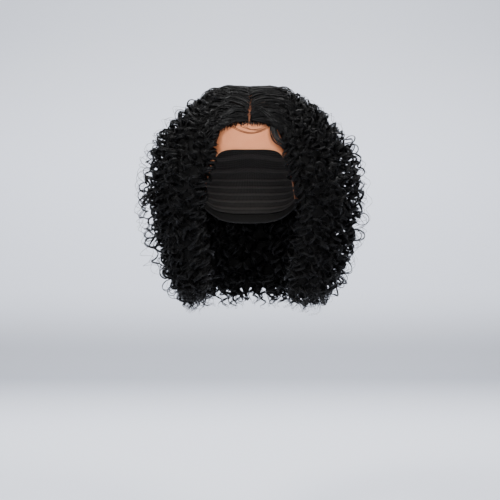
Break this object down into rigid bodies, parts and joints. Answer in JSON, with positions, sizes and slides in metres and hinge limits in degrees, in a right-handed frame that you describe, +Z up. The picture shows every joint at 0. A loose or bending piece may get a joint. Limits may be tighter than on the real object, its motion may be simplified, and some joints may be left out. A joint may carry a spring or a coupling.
{
  "type": "lace front wig",
  "caption": "Short black curly lace front wig with a middle parting, a net cap and an elastic nape band.",
  "frame": {"origin": "crown seat: the point inside the cap that rests on the top of the head", "axes": "+Z up out of the crown, -Y the way the face looks, +X the right of a picture taken from the front"},
  "size_m": [0.2902, 0.2253, 0.2889],
  "materials": {
    "lace": "sheer skin-coloured lace",
    "net": "dark stretch net",
    "elastic": "dark woven elastic",
    "hair": "soft sheen black hair"
  },
  "bodies": {
    "root": {"lace_front": "lace", "cap_net": "net", "nape_band": "elastic", "hair_front_left": "hair", "hair_front_right": "hair", "hair_side_left": "hair", "hair_side_right": "hair", "hair_back_left": "hair", "hair_back_right": "hair"}
  },
  "joints": []
}
